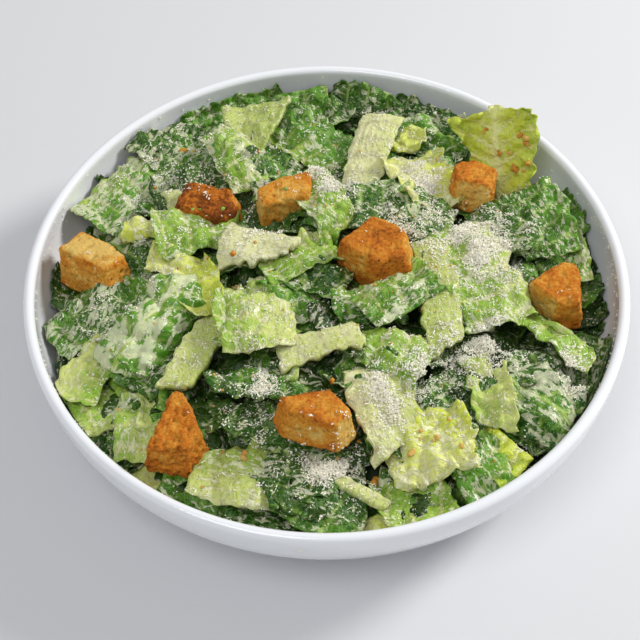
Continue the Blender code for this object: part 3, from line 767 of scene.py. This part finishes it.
# ---------------------------------------------------------------- rib pieces
# Thick cream pieces cut from the ribs. Fine strands run along them, and their cut edges are
# wet. They are what crunches.
RIBS = (
    dict(at=(-34, 79, 5), size=(40, 21), turn=84, roll=-8, arch=-20, cup=40, taper=0.4, thick=0.35,
         film=0.2, deep=(0.35, 0.6), uneven=0.7),
    dict(at=(19, 58, 6), size=(38, 17), turn=72, pitch=10, arch=-10, cup=-30, taper=0.05, corner=0.05,
         thick=0.6, film=0.3, sag=0.7, uneven=0.7, deep=(0, 0.35)),
    dict(at=(-28, 6, 7), size=(33, 16), turn=-12, arch=-14, cup=-50, taper=-0.5, thick=0.95, film=1.0,
         sag=1.3, deep=(0, 0.05)),
    dict(at=(-50, -40, 2), size=(38, 12), turn=62, arch=-8, cup=50, thick=0.7, film=0.5, sag=0.5,
         deep=(0.3, 0.6)),
    dict(at=(-34, -88, 3), size=(29, 23), turn=-12, arch=-16, cup=-24, thick=0.2, film=0.7, sag=1.2,
         deep=(0.05, 1.0), strands=3.4, frill="L"),
    dict(at=(-2, -39, 3), size=(28, 18), turn=20, arch=-10, cup=-26, corner=0.05, thick=0.65, film=0.3,
         sag=0.6, deep=(0.15, 0.4)),
    dict(at=(43, -15, 2), size=(48, 15), turn=-86, arch=-14, cup=-30, thick=0.6, film=0.4, sag=0.7,
         deep=(0.3, 0.55)),
    dict(at=(21, -61, 2), size=(42, 26), turn=-76, arch=-26, cup=-30, thick=0.4, film=0.7, sag=1.3,
         deep=(0.05, 0.5), strands=3.8, frill="RF", ruffle=1.4),
    dict(at=(12, -95, 2), size=(24, 4), turn=-32, arch=-10, thick=0.5, film=0.2, sag=0.4),
    dict(at=(-61, 37, 3), size=(24, 8), turn=-72, arch=-60, cup=50, thick=0.35, film=0.2, sag=0.4,
         deep=(0.1, 0.5)),
)
rib_finish = leaf_material(
    "romaine_rib", srgb(224, 224, 166), srgb(186, 198, 104), srgb(144, 172, 62), srgb(234, 235, 186),
    film=0.6, roughness=0.32,
)
dice = np.random.default_rng(31)
rib_defaults = dict(veins=0.25, blister=0.3, deep=(0.05, 0.4), corner=0.1, strands=3.2)
ribs = [leaf(dice, **{**rib_defaults, **one}) for one in RIBS]
join_leaves("rib_pieces", ribs, rib_finish, "heart_leaf", ("lettuce_heap",))


# ---------------------------------------------------------------- croutons
# Torn and cut cubes of bread, tossed in oil and baked. Their cut faces are open crumb and
# their edges are browned, with dark specks of herb and crust.
toast, tree, shader = new_material("toasted_bread", IOR=1.4, Specular_IOR_Level=0.35)
brown = attribute(tree, "browning")
patch = noise(tree, 130, 4, 0.6)
crumb = noise(tree, 800, 5, 0.7)
bake = math_node(tree, "MULTIPLY_ADD", math_node(tree, "SUBTRACT", patch, 0.5), 1.2, brown)
bake = math_node(tree, "MULTIPLY_ADD", math_node(tree, "SUBTRACT", crumb, 0.5), 1.5, bake)
colour = blend(tree, ease(tree, bake, 0.05, 0.45), srgb(244, 204, 112), srgb(232, 160, 54))
colour = blend(tree, ease(tree, bake, 0.40, 0.75), colour, srgb(212, 122, 30))
colour = blend(tree, ease(tree, bake, 0.72, 1.15), colour, srgb(126, 62, 14))
# Painted shade: the colour is darkened in the crumb's holes.
pits = ease(tree, attribute(tree, "pit"), 0.2, 1.0, 1.0, 0.62)
colour = blend(tree, 1.0, colour, pits, "MULTIPLY")
herb = ease(tree, noise(tree, 420, 2, 0.4), 0.70, 0.76)
colour = blend(tree, math_node(tree, "MULTIPLY", herb, 0.8), colour, srgb(52, 34, 16))
tree.links.new(colour, shader.inputs["Base Color"])
tree.links.new(ease(tree, crumb, 0.3, 0.7, 0.62, 0.88), shader.inputs["Roughness"])
tree.links.new(bump(tree, crumb, 0.0014, 1.0), shader.inputs["Normal"])

# How brown each one is all over, how open its crumb is, and which way its paler cut face looks.
CROUTONS = {
    "crouton_1": (0.50, 1.5, (0.2, 0.2, 0.9)), "crouton_2": (1.0, 1.0, (0.8, 0.4, 0.4)),
    "crouton_3": (0.46, 0.7, (-0.7, -0.6, 0.3)), "crouton_4": (0.66, 0.6, (0.7, 0.4, 0.5)),
    "crouton_5": (0.62, 0.9, (0.1, -1, 0)), "crouton_6": (0.58, 0.9, (-1, -0.2, 0)),
    "crouton_7": (0.58, 0.7, (0.8, -0.6, 0)), "crouton_8": (0.62, 1.9, (0, 0, -1)),
}
dice = np.random.default_rng(3)
for node_name, (bake_level, open_crumb, cut_face) in CROUTONS.items():
    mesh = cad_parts[node_name].data.copy()
    mesh.name = node_name + "_toast"
    mesh.materials.clear()
    mesh.materials.append(toast)
    piece = new_piece(mesh.name, mesh, "toast", node_name)
    grow = piece.modifiers.new("fine faces", "REMESH")
    grow.mode = "VOXEL"
    grow.voxel_size = 0.62 * MM
    evaluated = piece.evaluated_get(bpy.context.evaluated_depsgraph_get())
    fine_mesh = bpy.data.meshes.new_from_object(evaluated)
    piece.modifiers.clear()
    piece.data = fine_mesh
    count = len(fine_mesh.vertices)
    places, normals = np.zeros(count * 3), np.zeros(count * 3)
    fine_mesh.vertices.foreach_get("co", places)
    fine_mesh.vertices.foreach_get("normal", normals)
    places, normals = places.reshape(-1, 3), normals.reshape(-1, 3)
    low, high = places.min(0), places.max(0)
    lumps, holes = 0, 0
    for size, depth in ((9, 0.35), (4, 0.25), (1.9, 0.16)):
        for _ in range(6):
            k = dice.normal(0, 1, 3)
            k *= 2 * math.pi / (size * MM * np.linalg.norm(k))
            lumps = lumps + depth / 6 * 1.6 * np.sin(places @ k + dice.uniform(0, 6))
    centres = dice.uniform(low, high, (int(500 * open_crumb) + 60, 3))
    sizes = dice.uniform(0.45, 1.25, len(centres)) * MM
    for centre, hole in zip(centres, sizes):
        close = np.exp(-((places - centre) ** 2).sum(1) / hole**2)
        holes = np.maximum(holes, close)
    inward = 0.3 + 0.9 * open_crumb * holes
    places = places + normals * ((lumps - inward) * MM)[:, None]
    fine_mesh.vertices.foreach_set("co", places.ravel())
    edge = np.linalg.norm((places - (low + high) / 2) / (high - low) * 2, axis=1)
    facing = np.clip(normals @ Vector(cut_face).normalized(), 0, 1) ** 3
    browning = bake_level + 0.5 * (edge - 0.95) + 0.12 * lumps - 0.1 * holes - 0.42 * facing
    browning = np.clip(browning, 0, 1.2)
    for mask, values in (("browning", browning), ("pit", holes)):
        layer = fine_mesh.attributes.new(mask, "FLOAT", "POINT")
        layer.data.foreach_set("value", values.astype(np.float32))
    fine_mesh.shade_smooth()
    fine_mesh.update()


def tree_of(*names):
    """A search tree over the finished surface of some pieces."""
    graph = bpy.context.evaluated_depsgraph_get()
    places, faces = [], []
    for name in names:
        finished = bpy.data.objects[name].evaluated_get(graph)
        mesh = finished.to_mesh()
        start = len(places)
        places += [v.co.copy() for v in mesh.vertices]
        faces += [[start + i for i in p.vertices] for p in mesh.polygons]
        finished.to_mesh_clear()
    return BVHTree.FromPolygons(places, faces)


# Where crumbs broke off and stuck to the leaves: x, y, spread, size (mm) and how many.
CRUMBS = (
    (38, -80, 9, 1.8, 5), (2, -54, 2, 2.8, 2), (18, -87, 2, 3.2, 2), (-30, -84, 4, 2.2, 2),
    (-36, -4, 5, 2.0, 3), (-12, 50, 4, 2.0, 2), (-60, 76, 6, 2.0, 2),
)
# Those on the standing leaf: x, height, spread, size and how many.
CRUMBS_ON_BLADE = ((83, 62, 3, 2.2, 6), (81, 50, 3, 2.4, 6), (70, 58, 6, 1.6, 4))


def crumb_mesh(name, crumbs):
    """Small uneven lumps, each (place, radius), as one mesh."""
    made = bmesh.new()
    for place, radius in crumbs:
        ball = bmesh.ops.create_icosphere(made, subdivisions=2, radius=1)["verts"]
        spread = [Vector(dice.normal(0, 1, 3)) for _ in range(4)]
        stretch = Vector(dice.uniform(0.7, 1.3, 3))
        for vert in ball:
            lump = 1 + 0.36 * sum(math.sin(2.2 * vert.co.dot(k) + 1) for k in spread) / 2
            vert.co = place + Vector(v * w for v, w in zip(vert.co, stretch)) * radius * lump
    mesh = bpy.data.meshes.new(name)
    made.to_mesh(mesh)
    made.free()
    brown = dice.uniform(0.0, 0.55, len(crumbs)).repeat(len(mesh.vertices) // len(crumbs))
    mesh.attributes.new("browning", "FLOAT", "POINT").data.foreach_set("value", brown.astype(np.float32))
    mesh.materials.append(toast)
    mesh.shade_smooth()
    return mesh


LEAF_PIECES = (
    "outer_leaves", "inner_leaves", "heart_leaves", "rib_pieces", "tucked_leaves", "buried_leaves",
)


def strewn(groups):
    """Places and sizes of the crumbs in some groups."""
    for first, second, spread, size, count in groups:
        for _ in range(count):
            shift = dice.normal(0, spread / 2, 2)
            yield first + shift[0], second + shift[1], size * dice.uniform(0.7, 1.2)


leaves, blade = tree_of(*LEAF_PIECES), tree_of("standing_leaf_blade")
crumbs = []
scattered = [(*dice.uniform(-95, 95, 2), dice.uniform(0.5, 1.2)) for _ in range(110)]
for x, y, size in (*strewn(CRUMBS), *scattered):
    hit = leaves.ray_cast(Vector((x * MM, y * MM, 0.2)), Vector((0, 0, -1)))[0]
    if hit and math.hypot(x, y) < 104:
        crumbs.append((hit + Vector((0, 0, 0.1 * size * MM)), size / 2 * MM))
for x, z, size in strewn(CRUMBS_ON_BLADE):
    hit = blade.ray_cast(Vector((x * MM, -0.2, z * MM)), Vector((0, 1, 0)))[0]
    if hit:
        crumbs.append((hit - Vector((0, 0.1 * size * MM, 0)), size / 2 * MM))
new_piece("toast_crumbs", crumb_mesh("toast_crumbs", crumbs), "toast")


# ---------------------------------------------------------------- grated cheese
# Hard cheese, grated fine over the tossed salad. It lies thick in patches and thin
# everywhere, and a few shreds fell on the rim and down the wall.
cheese, tree, shader = new_material(
    "hard_cheese", Roughness=0.6, Specular_IOR_Level=0.3, Subsurface_Weight=0.15,
    Subsurface_Radius=(1.0, 0.95, 0.8), Subsurface_Scale=0.001,
)
shade = blend(tree, noise(tree, 300, 2), srgb(254, 253, 244), srgb(249, 244, 222))
tree.links.new(shade, shader.inputs["Base Color"])

CLUMPS = 2300
LOOSE = 3200
MOST_GRAINS = 24000


def shred_mesh(name, shreds):
    """Short slivers, twisted along their length, each (place, direction, normal, length, thickness), as one
    mesh.
    """
    count = len(shreds)
    place, along, out, length, thick = (np.array(part) for part in zip(*shreds))
    side = np.cross(out, along)
    side /= np.linalg.norm(side, axis=1)[:, None]
    places = np.zeros((count, 6, 3))
    for end in (0, 1):
        for corner, turn in enumerate((0.3, 2.4, 4.5)):
            reach = thick * dice.uniform(0.3, 0.6, count)
            across = side * (math.cos(turn + end) * reach)[:, None]
            up = out * (math.sin(turn + end) * reach * 0.9)[:, None]
            places[:, end * 3 + corner] = place + along * (length * (end - 0.5))[:, None] + across + up
    prism = [(0, 2, 1), (3, 4, 5)]
    for i in range(3):
        j = (i + 1) % 3
        prism += [(i, j, 3 + j), (i, 3 + j, 3 + i)]
    faces = (np.array(prism)[None] + 6 * np.arange(count)[:, None, None]).reshape(-1, 3)
    mesh = bpy.data.meshes.new(name)
    mesh.from_pydata(places.reshape(-1, 3).tolist(), [], faces.tolist())
    mesh.materials.append(cheese)
    return mesh


def shred_on(place, normal, raised, long, thick):
    """One shred lying on a surface in a random direction."""
    swing = Vector(dice.normal(0, 1, 3))
    along = swing - normal * swing.dot(normal)
    along = (along.normalized() + normal * dice.normal(0, 0.35)).normalized()
    return place + normal * raised, along, normal, long, thick


toast_boxes = [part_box(name) for name in CROUTONS]


def on_toast(x, y):
    """Whether a place is over a crouton, which sheds most of the cheese."""
    return any(low[0] < x < high[0] and low[1] < y < high[1] for low, high in toast_boxes)


surface = tree_of(*LEAF_PIECES, *(name + "_toast" for name in CROUTONS))
dice = np.random.default_rng(77)


def sprinkle(count, most, likely):
    """Places where cheese landed, more often where it is thick. Croutons shed most of it."""
    landed = []
    while len(landed) < count:
        tries = dice.uniform(-112, 112, (4000, 2)) * MM
        held = dice.uniform(0, most, 4000) < likely(cheese_at(*tries.T))
        for x, y in tries[held & (np.hypot(*tries.T) < 110 * MM)]:
            if not on_toast(x, y) or dice.uniform() < 0.15:
                landed.append((x, y))
    return landed[:count]


drops = [
    (x, y, 1 + dice.poisson(3 + 5 * min(float(cheese_at(x, y)), 1)))
    for x, y in sprinkle(CLUMPS, 1.2, lambda thick: thick**1.3)
]
drops += [(x, y, 1) for x, y in sprinkle(LOOSE, 1.2, lambda thick: 0.35 + thick)]
shreds = []
for x, y, grains in drops:
    for grain in range(grains):
        spread = dice.normal(0, 0.9 * MM, 2) if grains > 1 else (0, 0)
        origin = Vector((x + spread[0], y + spread[1], 0.2))
        hit, normal, _, _ = surface.ray_cast(origin, Vector((0, 0, -1)))
        if hit is None or normal.z < 0.1:
            continue
        heaped = (0.15 + 0.12 * grain * dice.uniform(0.3, 1)) * MM
        long = dice.uniform(0.4, 0.9) if dice.uniform() < 0.93 else dice.uniform(0.9, 2.2)
        wide = dice.uniform(0.4, 0.8) if grains > 1 else dice.uniform(0.3, 0.55)
        shreds.append(shred_on(hit, normal, heaped, long * MM, wide * MM))
shreds = shreds[:MOST_GRAINS]
new_piece("grated_cheese", shred_mesh("grated_cheese", shreds), "hard_cheese")

# How many lie along the wall, from one heading to another (degrees), and on the lip.
ON_THE_WALL = ((150, 30, 0, 360), (420, 12, 215, 300), (60, 24, 160, 215), (50, 20, -30, 20))
shreds = []
for count, reach, start, end in ON_THE_WALL:
    for _ in range(count):
        angle = math.radians(dice.uniform(start, end))
        z = (45 - reach * 0.5 * dice.uniform(0, 1) ** 2) * MM
        r = wall_radius(z) - 0.2 * MM
        out_way = Vector((-math.cos(angle), -math.sin(angle), 0.15)).normalized()
        place = Vector((r * math.cos(angle), r * math.sin(angle), z))
        if dice.uniform() < 0.22:
            across = dice.uniform(-0.9, 0.6)
            r = RIM_RADIUS - LIP + LIP * math.sin(across)
            place = Vector((r * math.cos(angle), r * math.sin(angle), SHOULDER + STRAIGHT))
            place.z += LIP * math.cos(across)
            out_way = Vector((math.cos(angle), math.sin(angle), 0)) * math.sin(across)
            out_way.z = math.cos(across)
            place -= out_way * 0.3 * MM
        long = dice.uniform(0.4, 1.3) * MM
        shreds.append(shred_on(place, out_way, 0.05 * MM, long, dice.uniform(0.3, 0.6) * MM))
new_piece("cheese_on_the_bowl", shred_mesh("cheese_on_the_bowl", shreds), "hard_cheese")


# ---------------------------------------------------------------- floor, light and camera
# A plain pale table under broad soft light from the right and behind.
mesh = bpy.data.meshes.new("table")
half = 3.0
mesh.from_pydata([(-half, -half, 0), (half, -half, 0), (half, half, 0), (-half, half, 0)], [], [(0, 1, 2, 3)])
table_finish, tree, shader = new_material("pale_table", Roughness=0.7)
tint = blend(tree, noise(tree, 3, 2), srgb(216, 217, 220), srgb(213, 214, 217))
tree.links.new(tint, shader.inputs["Base Color"])
mesh.materials.append(table_finish)
table = bpy.data.objects.new("table", mesh)
bpy.context.scene.collection.objects.link(table)


def soft_light(name, place, size, power, tint):
    light = bpy.data.lights.new(name, "AREA")
    light.shape = "DISK"
    light.size = size
    light.energy = power
    light.color = tint
    made = bpy.data.objects.new(name, light)
    made.location = place
    made.rotation_euler = (Vector((0, 0, 0.04)) - Vector(place)).to_track_quat("-Z", "Y").to_euler()
    bpy.context.scene.collection.objects.link(made)


soft_light("key", (1.15, 0.5, 0.85), 0.4, 17.5, (1.0, 0.985, 0.955))
soft_light("fill", (-0.4, -0.55, 1.5), 0.8, 7.2, (0.97, 0.985, 1.0))
world = bpy.data.worlds.new("studio")
world.use_nodes = True
world.node_tree.nodes["Background"].inputs["Color"].default_value = (1.0, 1.0, 1.0, 1)
world.node_tree.nodes["Background"].inputs["Strength"].default_value = 0.45
bpy.context.scene.world = world
bpy.context.scene.view_settings.view_transform = "Standard"

ELEVATION = math.radians(51.03)
DISTANCE = 0.55
lens = bpy.data.cameras.new("camera")
lens.lens = 77.8
lens.sensor_width = 36
camera = bpy.data.objects.new("camera", lens)
eye = Vector((0, -math.cos(ELEVATION) * DISTANCE, RIM_HEIGHT + math.sin(ELEVATION) * DISTANCE))
aim = Vector((-0.0025, -0.024, RIM_HEIGHT))
camera.location = eye
camera.rotation_euler = (aim - eye).to_track_quat("-Z", "Y").to_euler()
camera.rotation_euler.rotate_axis("Z", math.radians(-0.61))
bpy.context.scene.collection.objects.link(camera)
bpy.context.scene.camera = camera
